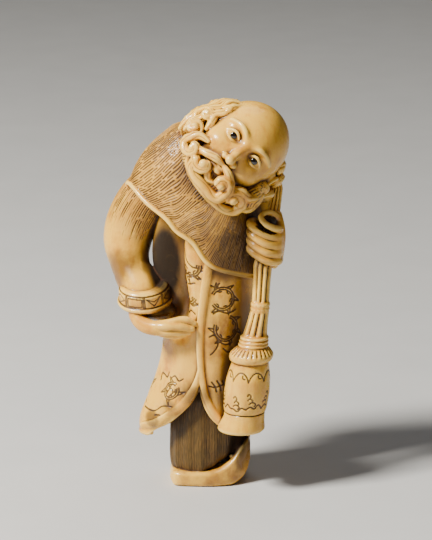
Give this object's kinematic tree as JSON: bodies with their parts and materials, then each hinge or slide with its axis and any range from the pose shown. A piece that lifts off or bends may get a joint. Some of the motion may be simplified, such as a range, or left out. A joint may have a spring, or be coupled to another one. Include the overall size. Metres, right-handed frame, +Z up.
{
  "type": "netsuke",
  "caption": "Standing bearded traveller in a strand cape who leans his head on a long trumpet, carved in one piece as a toggle with cord holes in the back.",
  "frame": {"origin": "middle of the shoe's flat sole, on the surface that the figure stands on", "axes": "+Z up, -Y the way the figure faces, +X the figure's own left"},
  "size_m": [0.0416, 0.0295, 0.0898],
  "materials": {
    "ivory": "aged and polished ivory with a soft gloss, brown stain in the cut lines and a honey patina in the hollows",
    "dark_horn": "polished dark horn, nearly black"
  },
  "bodies": {
    "root": {"ivory_figure": "ivory", "right_pupil": "dark_horn", "left_pupil": "dark_horn"}
  },
  "joints": []
}
